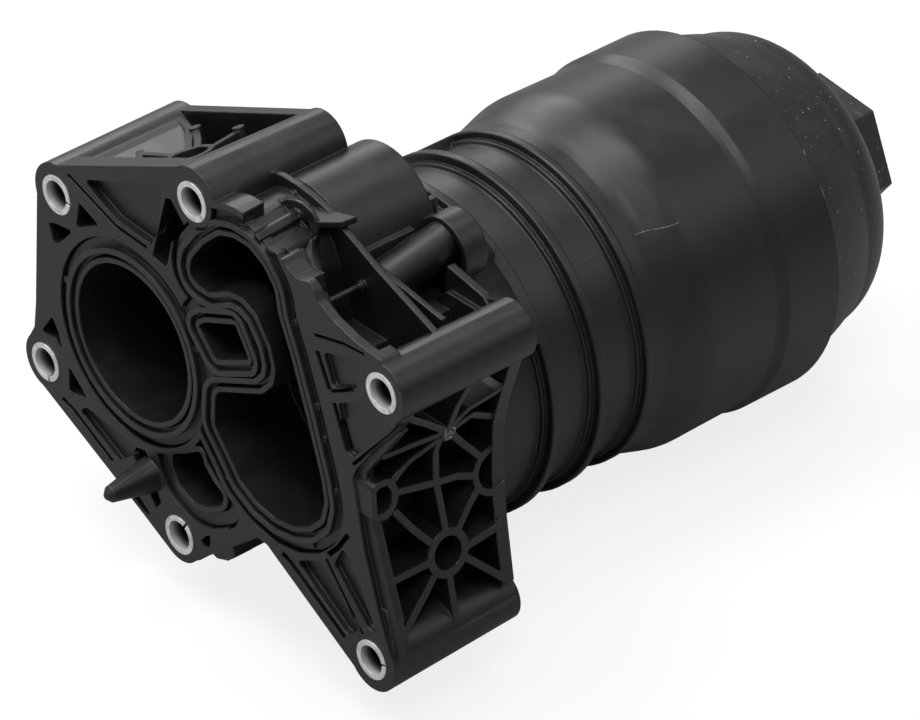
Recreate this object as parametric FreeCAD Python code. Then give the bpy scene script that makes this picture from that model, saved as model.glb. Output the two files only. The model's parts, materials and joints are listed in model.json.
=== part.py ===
import FreeCAD, Part
import math
import os

os.makedirs("parts", exist_ok=True)
V = FreeCAD.Vector

# Frame: the mounting face is the plane x = 0, the filter bowl's axis is the X axis,
# the screw cap is at the +X end and Z is up. Outlines on the face are (y, z) pairs.

# Mounting block
BLOCK_DEPTH = 38.5          # face to the back of the block, the same for all six bolt tubes
FACE_WALL = 5.5             # thickness of the front wall
FRONT_THIN = 2.4            # the same wall in front of the deep pocket
REAR_WALL = 3.5
RIB = 1.7                   # thickness of the spider ribs
WEB_DEPTH = 14.0            # how far the side and top ribs reach into the block

# Bolt tubes: (y, z, radius at the face, radius at the back)
TUBES = {
    "left_top": (52.1, 44.2, 7.8, 8.2),
    "top": (4.0, 65.3, 8.4, 7.5),
    "left": (58.6, -4.2, 7.3, 7.0),
    "right": (-58.5, 46.5, 7.2, 7.0),
    "bottom": (11.6, -27.8, 7.0, 6.8),
    "bottom_right": (-54.5, -26.5, 7.8, 6.4),
}
SLEEVE_R = 4.84             # outside of the rolled steel sleeves, for M6 bolts
SLEEVE_BORE_R = 3.55
SLEEVE_SLIT = 0.7
SLEEVE_PROUD = 0.25         # the bolt clamps on steel, so both ends stand proud
SLEEVE_CLEAR = 0.02
SLEEVE_LAND = 1.5           # plastic kept between a sleeve and the gasket groove
SLIT_ANGLE = {"left_top": -5, "top": -40, "left": -75, "right": -50, "bottom": 60,
              "bottom_right": 10}

# Ports in the face
PORT1 = (26.5, 17.0, 19.3)  # round clean oil port: y, z, radius
PORT2 = [(4.2, 44.0), (5.8, 46.5), (5.0, 50.0), (0.5, 56.0), (-5.0, 61.0), (-10.0, 62.6),
         (-15.0, 62.6), (-19.8, 60.2), (-23.4, 56.0), (-24.6, 50.0), (-28.6, 41.0),
         (-33.4, 28.0), (-38.2, 13.5), (-39.2, 8.0), (-37.8, 2.5), (-33.6, -1.8),
         (-28.0, -4.6), (-22.0, -5.6), (-16.0, -4.6), (-10.6, -1.8), (-6.6, 3.2), (-1.6, 9.0),
         (-2.2, 18.4), (-18.6, 26.0), (-22.2, 30.0), (-23.2, 34.5), (-21.6, 40.0),
         (-17.0, 46.0), (-12.0, 48.0), (-7.6, 47.6), (-0.8, 43.8)]
PORT3 = [(14.0, -6.8), (13.4, -10.6), (10.8, -14.2), (6.6, -16.0), (2.0, -15.2),
         (-3.6, -11.8), (-4.8, -8.6), (-1.0, -6.6), (2.2, -3.6), (3.2, -0.4), (8.2, -3.6)]
PORT4 = [(0.6, 35.4), (-9.8, 39.9), (-14.3, 32.8), (-2.6, 27.0), (3.2, 33.2)]
LIP = 1.3                   # thin land between a port and its gasket groove
GROOVE_W = 5.0
OUTER_LIP = 1.5
GROOVE_DEPTH = 3.4
PORT_WALL = 2.6
PORT1_DEPTH = 33.0
PORT2_DEPTH = 35.0
PORT3_DEPTH = 22.0
PORT4_DEPTH = 20.0

GALLERY_X = 27.8            # cross passage from the standpipe to the round port
GALLERY_R = 4.9

# Gasket
GASKET_SIDE_CLEAR = 0.35
GASKET_BASE = 2.3
BEAD_W = 1.3
BEAD_PROUD = 0.5
NUBS = [(0.4, 5.0), (-5.4, -3.4), (-15.0, -8.7), (-38.6, 24.0), (-36.6, 31.5), (42.8, -0.6),
        (28.2, -6.4), (4.6, 26.0), (-15.0, 41.2), (-12.4, 66.4), (-29.4, 49.8), (50.6, 22.0),
        (33.5, 41.6), (-34.0, -6.6), (9.2, 44.5), (-42.0, 12.0)]
NUB_R = 0.85

# Bowl and cap, all turned about the X axis
BOWL_OUT_R = 39.0
BOWL_IN_R = BOWL_OUT_R - 3.0
BOWL_FLOOR = 3.5
COLLAR_X = (BLOCK_DEPTH + 26.8, BLOCK_DEPTH + 41.2, BLOCK_DEPTH + 56.0)
COLLAR_R = BOWL_OUT_R + 3.0
COLLAR_FOOT = 0.9           # small step at the foot of each collar's front face
COLLAR_RIM = 2.2
NECK_R = BOWL_OUT_R + 5.5
SHOULDER_X = (COLLAR_X[2] + 6.0, COLLAR_X[2] + 18.0)
BAND_X = (COLLAR_X[2] + 38.5, COLLAR_X[2] + 41.7)
BAND_R = NECK_R + 0.75
MOUTH_X = COLLAR_X[2] + 58.0
SEAL_BORE_R = BAND_R - 4.45
SEAL_BORE_X = MOUTH_X - 9.0
THREAD_X = MOUTH_X - 34.5   # where the threaded bore starts
THREAD_MINOR_R = SEAL_BORE_R - 1.55     # crest of the thread in the bowl
THREAD_MAJOR_R = THREAD_MINOR_R + 1.25  # root of the thread in the bowl
THREAD_PITCH = 4.0
THREAD_TURNS = 2.5
THREAD_CLEAR = 0.35

CAP_GAP = 0.3               # cap flange to the bowl's mouth
CAP_FLANGE_R = BAND_R - 2.65
CAP_EDGE = (MOUTH_X + 15.9, CAP_FLANGE_R - 4.3)     # the side turns into the rounded shoulder
CAP_SIDE_MID = (MOUTH_X + 8.5, CAP_FLANGE_R - 1.7)
CAP_SHOULDER_MID = (MOUTH_X + 24.4, CAP_FLANGE_R - 8.0)
CAP_FACE = (MOUTH_X + 28.1, CAP_FLANGE_R - 15.6)    # the shoulder meets the flat end
CAP_TOP_X = MOUTH_X + 30.5
CAP_WALL = 3.0
CAP_SKIRT_X = MOUTH_X - 30.0
CAP_CORE_R = THREAD_MINOR_R - 0.4       # root of the cap's thread
CAP_CREST_R = THREAD_MAJOR_R - 0.4
CAP_BORE_R = CAP_CORE_R - 3.25
CAP_RIB_COUNT = 6
HEX_AF = 32.0
HEX_TOP_X = CAP_TOP_X + 13.0
HEX_TURN = 7                # degrees from +Y to the first corner
RING_X = MOUTH_X - 4.9
RING_SECTION_R = 1.5
RING_OUT_R = SEAL_BORE_R - 0.06

# Filter element
ELEMENT_X = (BLOCK_DEPTH + 19.5, MOUTH_X - 11.5)
ELEMENT_R = BOWL_IN_R - 3.0
ELEMENT_CORE_R = 14.0
CORE_WALL = 1.2
PLEATS = 44
END_CAP_T = 2.5
END_CAP_R = BOWL_IN_R - 1.8
CLIP_R = CAP_BORE_R - 8.1   # inside of the lip in the cap that the element's clips hook over
CLIP_X = MOUTH_X - 1.0

# Standpipe, bypass valve and check valve
PIPE_OUT_R = 9.0
PIPE_IN_R = 6.6
PIPE_X = (BLOCK_DEPTH - 8.5, ELEMENT_X[1] - 13.0)
BYPASS_X = PIPE_X[1] - 10.0
BYPASS_SEAT_R = 3.6
BYPASS_DISC_R = 5.4
BYPASS_TRAVEL = 2.8
RUN = 0.06                  # running clearance of a guided stem
CHECK_YZ = (-23.0, 6.0)
CHECK_HOLE_R = 6.5
CHECK_DISC_R = 8.4
CHECK_TRAVEL = 3.0
DRAIN_YZ = (5.0, -13.5)
DRAIN_R = 3.0


def wire(points, radius=0.0, to3d=None):
    """Closed wire through the points, its corners rounded by up to the given radius."""
    to3d = to3d or (lambda p: V(0, p[0], p[1]))
    n = len(points)
    edges, starts, ends = [], [], []
    for i in range(n):
        prev, here, nxt = points[i - 1], points[i], points[(i + 1) % n]
        a = (prev[0] - here[0], prev[1] - here[1])
        b = (nxt[0] - here[0], nxt[1] - here[1])
        la, lb = math.hypot(*a), math.hypot(*b)
        a, b = (a[0] / la, a[1] / la), (b[0] / lb, b[1] / lb)
        dot = max(-1.0, min(1.0, a[0] * b[0] + a[1] * b[1]))
        half = math.acos(dot) / 2
        if radius <= 0 or half > math.radians(88):
            starts.append(here)
            ends.append(here)
            edges.append(None)
            continue
        cut = min(radius / math.tan(half), 0.48 * la, 0.48 * lb)
        r = cut * math.tan(half)
        p = (here[0] + a[0] * cut, here[1] + a[1] * cut)
        q = (here[0] + b[0] * cut, here[1] + b[1] * cut)
        m = (a[0] + b[0], a[1] + b[1])
        lm = math.hypot(*m)
        d = r / math.sin(half) - r
        mid = (here[0] + m[0] / lm * d, here[1] + m[1] / lm * d)
        starts.append(p)
        ends.append(q)
        edges.append(Part.Arc(to3d(p), to3d(mid), to3d(q)).toShape())
    out = []
    for i in range(n):
        if edges[i] is not None:
            out.append(edges[i])
        a, b = ends[i], starts[(i + 1) % n]
        if math.hypot(a[0] - b[0], a[1] - b[1]) > 1e-6:
            out.append(Part.makeLine(to3d(a), to3d(b)))
    return Part.Wire(Part.__sortEdges__(out))


def outline(points, radius=0.0):
    """Face in the plane x = 0 from (y, z) points."""
    return Part.Face(wire(points, radius))


def extrude_x(face, x0, x1):
    moved = face.copy()
    moved.translate(V(x0, 0, 0))
    return moved.extrude(V(x1 - x0, 0, 0))


def prism(points, x0, x1, radius=0.0):
    return extrude_x(outline(points, radius), x0, x1)


def grow(face, distance):
    return face.makeOffset2D(distance, 0, False, False, True)


def rod(y, z, r, x0, x1):
    return Part.makeCylinder(r, x1 - x0, V(x0, y, z), V(1, 0, 0))


def taper(y, z, r0, r1, x0, x1):
    if abs(r0 - r1) < 1e-6:
        return rod(y, z, r0, x0, x1)
    return Part.makeCone(r0, r1, x1 - x0, V(x0, y, z), V(1, 0, 0))


def tube(y, z, r_out, r_in, x0, x1):
    return rod(y, z, r_out, x0, x1).cut(rod(y, z, r_in, x0 - 1, x1 + 1))


def turned(profile):
    """Solid of revolution about the X axis from (x, r) points; a third item marks the
    middle point of an arc between its neighbours."""
    edges = []
    count = len(profile)
    for i, here in enumerate(profile):
        if len(here) == 3:
            continue
        nxt = profile[(i + 1) % count]
        if len(nxt) == 3:
            end = profile[(i + 2) % count]
            edges.append(Part.Arc(V(here[0], here[1], 0), V(nxt[0], nxt[1], 0),
                                  V(end[0], end[1], 0)).toShape())
        else:
            edges.append(Part.makeLine(V(here[0], here[1], 0), V(nxt[0], nxt[1], 0)))
    return Part.Face(Part.Wire(edges)).revolve(V(0, 0, 0), V(1, 0, 0), 360)


def strip(points, width):
    """Outline of a band of constant width along a line of points."""
    left, right = [], []
    for i, p in enumerate(points):
        a = points[max(i - 1, 0)]
        b = points[min(i + 1, len(points) - 1)]
        t = (b[0] - a[0], b[1] - a[1])
        length = math.hypot(*t)
        n = (-t[1] / length * width / 2, t[0] / length * width / 2)
        left.append((p[0] + n[0], p[1] + n[1]))
        right.append((p[0] - n[0], p[1] - n[1]))
    return left + right[::-1]


def blend(points0, x0, points1, x1):
    """Solid with flat sides between two outlines with the same number of corners."""
    ends = []
    for points, x in ((points0, x0), (points1, x1)):
        corners = [V(x, y, z) for y, z in points]
        ends.append(Part.makePolygon(corners + [corners[0]]))
    return Part.makeLoft(ends, True, True)


def fuse(shapes):
    """One shape from many, joined in pairs so each join stays small."""
    parts = [solid for shape in shapes for solid in shape.Solids]
    while len(parts) > 1:
        joined = [parts[i].fuse(parts[i + 1]) for i in range(0, len(parts) - 1, 2)]
        parts = joined + parts[len(joined) * 2:]
    merged = parts[0].removeSplitter()
    return merged if merged.isValid() else parts[0]


def helix_ridge(r_root, r_crest, x_start, turns, pitch, root_w, crest_w, sink):
    """Screw thread ridge about the X axis; sink carries it into the wall behind its root."""
    turn = Part.makeHelix(pitch, pitch * turns, r_root)
    side = 1 if r_crest > r_root else -1
    grow_w = (root_w - crest_w) * sink / abs(r_crest - r_root)
    section = [(r_root - side * sink, -(root_w + grow_w) / 2), (r_crest, -crest_w / 2),
               (r_crest, crest_w / 2), (r_root - side * sink, (root_w + grow_w) / 2)]
    pts = [V(r, 0, h) for r, h in section]
    profile = Part.makePolygon(pts + [pts[0]])
    shell = Part.Wire(turn).makePipeShell([profile], True, True)
    solid = shell if shell.ShapeType == "Solid" else Part.Solid(shell)
    solid.rotate(V(0, 0, 0), V(0, 1, 0), 90)
    solid.translate(V(x_start, 0, 0))
    return solid


def spring(y, z, x0, x1, r, wire_r, turns):
    """Coil spring along X from x0 to x1 with its ends cut square by the wire's radius."""
    length = x1 - x0 - 2 * wire_r
    line = Part.makeHelix(length / turns, length, r)
    section = Part.Wire(Part.makeCircle(wire_r, V(r, 0, 0), V(0, 1, 0)))
    solid = Part.Wire(line).makePipeShell([section], True, True)
    if solid.ShapeType != "Solid":
        solid = Part.Solid(solid)
    solid.rotate(V(0, 0, 0), V(0, 1, 0), 90)
    solid.translate(V(x0 + wire_r, y, z))
    return solid


# Housing moulding: front wall with its recesses
FACE_OUTLINE = [
    (52.5, 51.8), (7.5, 72.6), (-1.0, 63.4), (-6.0, 66.4), (-12.0, 68.4), (-18.6, 67.6), (-24.5, 65.2),
    (-30.5, 62.0), (-34.6, 63.2), (-36.4, 62.0), (-38.0, 59.6), (-42.8, 57.2), (-48.8, 55.6),
    (-53.6, 54.9), (-58.0, 54.6), (-64.4, 46.0), (-62.4, 39.4), (-50.0, 22.4), (-48.6, 19.4), (-52.2, 2.0),
    (-57.2, -13.5), (-61.0, -22.5), (-61.6, -28.0), (-57.2, -33.4),
    (-51.0, -33.0), (-19.2, -14.2), (-16.0, -13.9), (-12.2, -15.0), (-7.0, -20.2),
    (-7.8, -24.0), (-5.2, -26.0), (-1.5, -27.4), (0.4, -26.8), (4.4, -31.0), (9.4, -34.3),
    (15.2, -33.8), (36.0, -22.9), (62.0, -10.4), (65.0, -7.0), (65.4, -1.6), (62.4, 3.6),
    (60.8, 16.0), (58.4, 36.0), (59.6, 42.0), (58.2, 48.4)]

THROUGH_WINDOWS = [
    [(13.4, 61.8), (11.4, 62.4), (7.0, 57.6), (11.6, 51.0), (13.2, 44.6), (14.4, 43.2),
     (18.6, 44.0)],
    [(44.2, 46.0), (37.2, 43.2), (45.6, 38.6)],
    [(55.6, 35.2), (53.0, 36.2), (46.8, 37.0), (51.6, 31.6), (53.8, 30.4)],
    [(55.6, 9.8), (60.0, 3.6), (55.2, 4.2), (52.0, 1.4), (53.4, 6.4)],
    [(50.2, -1.0), (43.6, -6.8), (50.4, -8.2)],
    [(-4.4, -16.6), (-8.0, -12.0), (-10.0, -11.6), (-8.4, -15.0), (-5.2, -17.8)],
    [(4.2, -25.4), (1.8, -22.8), (0.8, -22.2), (0.8, -25.6), (3.2, -26.6)],
]
PANEL_RECESSES = [
    ([(42.6, 52.8), (13.8, 65.0), (16.6, 50.8), (18.8, 46.8), (31.0, 47.6), (37.6, 50.2)], 2.2),
    ([(47.0, -11.6), (33.0, -18.4), (27.4, -14.0), (27.0, -10.8), (35.8, -10.2),
      (44.0, -9.4)], 1.6),
    ([(-29.0, -13.2), (-37.8, -8.8), (-50.6, -20.6), (-46.8, -24.0), (-45.0, -23.6)], 1.8),
    ([(-42.0, -7.4), (-45.4, -0.8), (-49.6, -6.6), (-56.6, -19.0), (-53.0, -18.4)], 1.4),
    ([(-39.4, 47.6), (-52.0, 51.2), (-50.4, 43.6), (-42.6, 39.8)], 1.2),
    ([(-44.2, 36.6), (-52.4, 41.2), (-60.6, 37.6), (-49.0, 24.8), (-46.6, 25.4)], 1.2),
]
FACE_SLOTS = [
    ([(47.8, 51.6), (31.2, 45.9), (20.4, 45.3)], 1.2, 3.0),
    ([(53.0, -11.4), (49.0, -12.6), (35.2, -19.8)], 1.5, 4.0),
    ([(-24.4, -13.8), (-27.6, -15.0), (-45.4, -25.6)], 2.0, 4.4),
    ([(-39.4, -7.2), (-51.6, -21.4)], 1.2, 3.0),
    ([(-47.0, 3.2), (-43.6, -2.0), (-40.0, -6.0)], 1.3, 3.0),
    ([(-37.4, 46.8), (-41.4, 38.6)], 1.5, 3.6),
    ([(-41.6, 38.4), (-49.4, 42.8)], 0.9, 2.4),
    ([(-42.8, 36.0), (-47.2, 25.2)], 1.5, 3.6),
    ([(-36.6, 50.6), (-46.0, 53.0), (-53.0, 53.6)], 0.9, 1.2),
    ([(-48.6, 22.6), (-63.4, 39.6)], 0.9, 2.0),
]
PEG_POCKETS = [
    [(26.6, -11.4), (23.2, -10.6), (21.2, -12.6), (20.0, -18.2), (18.0, -22.2), (19.8, -25.0),
     (22.6, -21.0), (27.6, -14.2)],
    [(26.4, -24.4), (21.2, -28.0), (24.2, -28.2), (29.0, -25.8)],
]

port1 = Part.Face(Part.Wire(Part.makeCircle(PORT1[2], V(0, PORT1[0], PORT1[1]), V(1, 0, 0))))
port2 = outline(PORT2, 4.0)
port3 = outline(PORT3, 2.0)
port4 = outline(PORT4, 0.9)
sealed = [port1, port2, port4]

# The gasket groove is one web: a band round each port, shared where two ports are close
band = fuse([extrude_x(grow(p, LIP + GROOVE_W), 0, 1) for p in sealed])
lands = fuse([extrude_x(grow(p, LIP + GROOVE_W + OUTER_LIP), 0, 1) for p in sealed])
inner = [extrude_x(grow(p, LIP), 0, 1) for p in sealed]
tube_keep = [rod(y, z, SLEEVE_R + SLEEVE_LAND, -3, 8) for y, z, r0, r1 in TUBES.values()]
nose_keep = [(-13.0, 71.0), (-13.2, 67.6), (-16.2, 66.9), (-18.6, 66.0), (-20.2, 64.9),
             (-22.0, 64.3), (-24.2, 65.3), (-24.8, 66.8), (-24.8, 71.0)]
groove1 = band.cut(Part.makeCompound(inner)).cut(Part.makeCompound(tube_keep)).cut(
    prism(nose_keep, -1, 2))
groove3 = extrude_x(grow(port3, LIP + 4.0), 0, 1).cut(
    extrude_x(grow(port3, LIP), 0, 1)).cut(lands)


def section_face(solid):
    """The faces of a one millimetre slab that lie in the plane x = 0, as faces there."""
    return [f for f in solid.Faces
            if abs(f.CenterOfMass.x) < 1e-6 and abs(abs(f.normalAt(0, 0).x) - 1) < 1e-6]


groove_faces = section_face(groove1)
groove3_face = max(section_face(groove3), key=lambda f: f.Area)

block = [prism(FACE_OUTLINE, 0, FACE_WALL, 1.5)]
for y, z, r0, r1 in TUBES.values():
    block.append(taper(y, z, r0, r1, 0, BLOCK_DEPTH))

# Port ducts behind the face
duct_walls = [
    extrude_x(grow(port1, LIP + 1.6), 0, PORT1_DEPTH + PORT_WALL),
    extrude_x(grow(port2, LIP + 1.3), 0, BLOCK_DEPTH),
    extrude_x(grow(port3, PORT_WALL), 0, PORT3_DEPTH + PORT_WALL),
    extrude_x(grow(port4, 2.0), 0, PORT4_DEPTH + PORT_WALL),
]
# The land under the gasket groove is as deep as the groove plus one wall
duct_walls.append(extrude_x(Part.makeCompound([f for f in section_face(lands)]), 0,
                            GROOVE_DEPTH + 3.0))

# Large round duct over the bowl, with the collar round its mouth
DUCT = (-11.0, 52.5, 16.0, 13.0)
DUCT_X = (20.0, 43.8)
duct = rod(DUCT[0], DUCT[1], DUCT[2], DUCT_X[0], DUCT_X[1])
duct_neck = taper(DUCT[0], DUCT[1], 14.6, DUCT[2] - 0.8, FACE_WALL, DUCT_X[0])
# Arched rim over the nose of the lobe
duct_rim = prism([(-9.6, 64.0), (-10.1, 66.6), (-13.2, 68.7), (-15.7, 69.8), (-18.6, 70.2),
                  (-21.4, 69.6), (-23.1, 68.0), (-23.4, 65.6), (-22.8, 58.6), (-20.6, 58.6),
                  (-20.9, 65.4), (-19.6, 67.4), (-17.6, 68.3), (-15.4, 68.0), (-13.4, 66.4),
                  (-12.6, 63.0)], 11.8, 13.3, 2.0)
duct_horn = blend([(-21.3, 63.2), (-30.3, 61.3), (-35.6, 61.7), (-37.2, 60.0), (-30.4, 48.3),
                   (-21.3, 49.6)], FACE_WALL - 1.7,
                  [(-19.0, 62.4), (-21.4, 64.4), (-23.2, 61.4), (-23.6, 55.4), (-23.0, 50.8),
                   (-19.0, 50.9)], 12.8)

# Walls: the front wall's outline carried back, open on the top slope and on the right side
left_wall = prism([(59.2, 44.0), (62.0, 3.0), (65.2, -4.0), (61.8, -4.0), (58.4, 4.0),
                   (56.0, 40.0)], 0, BLOCK_DEPTH)
low_left_wall = prism([(62.4, -10.2), (14.6, -33.8), (12.4, -31.2), (60.2, -7.4)], 0, BLOCK_DEPTH)
low_mid_wall = prism([(9.0, -34.4), (-16.0, -14.0), (-16.0, -10.2), (8.0, -30.2)], 0,
                     BLOCK_DEPTH - 12)
low_right_wall = prism([(-16.0, -14.0), (-19.2, -14.2), (-54.0, -34.0), (-54.0, -30.2),
                        (-19.0, -10.6), (-16.0, -10.2)], 0, BLOCK_DEPTH)
top_front_wall = prism([(52.0, 52.0), (7.4, 72.4), (8.0, 60.0), (46.0, 44.0)], 0, FACE_WALL - 1.5)
top_rear_wall = prism([(53.0, 51.6), (7.4, 71.6), (6.0, 58.0), (22.0, 36.0), (47.0, 32.0)],
                      BLOCK_DEPTH - REAR_WALL, BLOCK_DEPTH)
side_rear_wall = prism([(-62.0, 44.0), (-60.2, 37.4), (-57.0, 27.4), (-55.3, 20.6),
                        (-55.1, 10.0), (-55.3, 2.0), (-56.3, -6.0), (-58.6, -21.0),
                        (-50.0, -30.0), (-20.0, -36.0), (-20.0, 30.0), (-40.0, 48.0),
                        (-56.0, 48.0)], BLOCK_DEPTH - REAR_WALL, BLOCK_DEPTH)
# The foot of the side panel is scooped out towards the bottom right tube
side_fillet = prism([(-61.6, -25.4), (-60.6, -20.0), (-58.6, -12.0), (-46.0, -10.0),
                     (-46.0, -28.0), (-54.0, -33.6)], 1.0, BLOCK_DEPTH - 1.0).cut(
    rod(-63.2, -7.6, 16.6, 3.8, BLOCK_DEPTH))
right_core = prism([(-41.0, 44.0), (-47.0, 26.0), (-46.0, 4.0), (-50.0, -28.0), (-44.0, -26.0),
                    (-38.0, -6.0), (-38.0, 20.0), (-30.0, 44.0)], 1.0, BLOCK_DEPTH)

edge_step = prism([(-63.4, 38.0), (-51.8, 21.8), (-51.6, 17.0), (-54.0, 9.0), (-58.0, -3.0),
                   (-61.4, -13.0), (-62.2, -25.0), (-58.0, -31.0), (-46.0, -22.0), (-44.0, 20.0),
                   (-56.0, 42.0)], 1.3, 3.4)
block += duct_walls + [duct, duct_neck, duct_rim, duct_horn, edge_step, left_wall,
                       low_left_wall, low_mid_wall, low_right_wall, top_front_wall,
                       top_rear_wall, side_rear_wall, side_fillet, right_core]

# Spider ribs on the right side: lines of (x, z) points on the side panel
RING = (20.2, -5.8, 4.0, 5.9)
HUB = (21.4, 25.2, 2.2)
SIDE_RIBS = [
    [(21.4, 27.0), (21.6, 33.1), (23.4, 39.6)],
    [(22.3, 27.0), (26.0, 30.2), (33.4, 31.3), (38.0, 33.4)],
    [(23.1, 25.6), (27.9, 27.1), (37.4, 21.4)],
    [(23.2, 23.6), (24.8, 21.5), (32.3, 12.8)],
    [(30.6, 5.6), (27.7, 3.0), (23.6, -1.8)],
    [(30.4, 9.0), (25.1, 11.2), (19.1, 12.3), (7.2, 15.0)],
    [(19.4, 24.0), (18.9, 13.6), (19.8, 5.7), (20.3, -0.6)],
    [(19.8, 26.6), (12.2, 33.1), (5.6, 38.4)],
    [(19.2, 25.6), (11.7, 26.8), (2.4, 27.8)],
    [(19.2, 24.0), (12.2, 21.8), (6.6, 18.2)],
    [(6.8, 10.2), (11.3, 3.9), (15.9, -1.6)],
    [(14.4, -6.0), (2.4, -5.9)],
    [(15.6, -9.6), (12.3, -13.0), (4.6, -20.0)],
    [(19.8, -11.4), (20.1, -23.0)],
    [(25.8, -6.6), (37.0, -5.6)],
    [(25.0, -9.0), (36.4, -20.0)],
]
HALF_RING = (35.6, 8.4, 4.6, 6.2)
# Pocket between the ribs and the front frame, D shaped
SMALL_POCKET = [(1.6, 11.6), (4.6, 11.2), (6.0, 13.0), (6.2, 15.8), (5.0, 18.0), (1.8, 18.2)]
PANEL = [(-63.0, 46.0), (-60.5, 38.0), (-56.5, 27.0), (-54.3, 20.0), (-54.9, 10.0),
         (-56.0, 2.0), (-57.2, -6.0), (-58.8, -15.0), (-60.6, -24.0)]
RIB_Y = (-66.0, -43.0)      # the ribs run in this far from outside the panel


def side_prism(points, y_out, y_in, radius=0.0):
    w = wire(points, radius, lambda p: V(p[0], y_out, p[1]))
    return Part.Face(w).extrude(V(0, y_in - y_out, 0))


def side_rod(x, z, r, y_out, y_in):
    return Part.makeCylinder(r, abs(y_in - y_out), V(x, min(y_out, y_in), z), V(0, 1, 0))


def side_pocket(points, radius, wall, y_out, y_in):
    """Loop of rib of the given wall round a pocket, and the pocket itself."""
    face = Part.Face(wire(points, radius, lambda p: V(p[0], y_out, p[1])))
    run = V(0, y_in - y_out, 0)
    return grow(face, wall).extrude(run), face.extrude(run)


panel_skin = prism(PANEL + [(-43.0, -26.0), (-43.0, 46.0)], 0.5, BLOCK_DEPTH)
side_ribs = [side_prism(strip(line, RIB), *RIB_Y) for line in SIDE_RIBS]
for x, z, r in (HUB, (RING[0], RING[1], RING[3]), (HALF_RING[0], HALF_RING[1], HALF_RING[3])):
    side_ribs.append(side_rod(x, z, r, *RIB_Y))
pocket_loop, pocket_hole = side_pocket(SMALL_POCKET, 1.3, RIB, *RIB_Y)
side_web = fuse(side_ribs + [pocket_loop])
side_web = side_web.cut(Part.makeCompound([
    side_rod(RING[0], RING[1], RING[2], -67, -40),
    side_rod(HALF_RING[0], HALF_RING[1], HALF_RING[2], -67, -40), pocket_hole]))
side_web = side_web.common(panel_skin)
block.append(side_web)

# Spider ribs on the top slope: local points are x and the distance v down the slope
SLOPE_START = (52.0, 52.0)
SLOPE_ANGLE = math.radians(24.6)
TOP_RING = (10.8, 37.2, 4.3, 5.7)
TOP_RIBS = [
    [(15.6, 38.4), (26.4, 35.3)],
    [(14.2, 32.0), (27.3, 14.6), (34.8, 0.6)],
    [(15.6, 33.6), (20.6, 27.0), (26.1, 18.8)],
    [(10.4, 31.6), (11.6, 16.4)],
    [(13.1, 14.4), (5.4, 24.6)],
    [(5.8, 36.0), (5.2, 24.4)],
    [(7.6, 41.4), (3.2, 47.0)],
]
TOP_PINS = [(26.4, 35.3, 1.4), (26.1, 18.8, 1.5)]


def on_slope(x, v, w):
    """Point of the slope: v runs from the left tube to the top tube, w is outwards."""
    c, s = math.cos(SLOPE_ANGLE), math.sin(SLOPE_ANGLE)
    return V(x, SLOPE_START[0] - c * v + s * w, SLOPE_START[1] + s * v + c * w)


def slope_prism(points, w0, w1):
    face = Part.Face(wire(points, 0.0, lambda p: on_slope(p[0], p[1], w0)))
    return face.extrude(on_slope(0, 0, w1) - on_slope(0, 0, w0))


def slope_rod(x, v, r, w0, w1):
    base, top = on_slope(x, v, w0), on_slope(x, v, w1)
    return Part.makeCylinder(r, abs(w1 - w0), base, top - base)


top_web = fuse([slope_prism(strip(line, RIB), -WEB_DEPTH, -1.2) for line in TOP_RIBS]
               + [slope_rod(x, v, r, -WEB_DEPTH, -0.4) for x, v, r in TOP_PINS]
               + [slope_rod(TOP_RING[0], TOP_RING[1], TOP_RING[3], -WEB_DEPTH, -0.8)])
top_web = top_web.cut(slope_rod(TOP_RING[0], TOP_RING[1], TOP_RING[2], -WEB_DEPTH - 1, 1))
top_floor = slope_prism([(2.0, -3.0), (36.0, -3.0), (36.0, 47.0), (2.0, 47.0)],
                        -WEB_DEPTH - 1.6, -WEB_DEPTH + 0.1)
# A smooth ramp runs down into the pocket from the left bolt tube
ramp_pts = [on_slope(2.0, -4.0, -1.0), on_slope(2.0, 8.0, -1.6), on_slope(2.0, 25.0, -7.5),
            on_slope(2.0, 25.0, -WEB_DEPTH), on_slope(2.0, -4.0, -WEB_DEPTH)]
ramp = Part.Face(Part.makePolygon(ramp_pts + [ramp_pts[0]])).extrude(V(34.0, 0, 0))
ramp = ramp.common(slope_prism([(1.0, -5.0), (37.0, -5.0), (37.0, 0.0), (24.6, 16.2),
                                (17.5, 22.4), (1.0, 25.0)], -WEB_DEPTH - 1, 2.0))
block += [top_web, top_floor, ramp]

# Ribs across the deep pocket between the round duct and the right bolt tube
CROSS_WALL_X = (16.8, 18.4)
SMALL_DUCT = (V(25.0, -30.6, 50.2), V(46.0, -31.4, 55.0), 4.9)
SOCKET = (-31.8, 52.2, 8.0, 6.5)
SOCKET_X = (41.0, 47.5)


def rod_between(a, b, r):
    return Part.makeCylinder(r, (b - a).Length, a, b - a)


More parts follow.
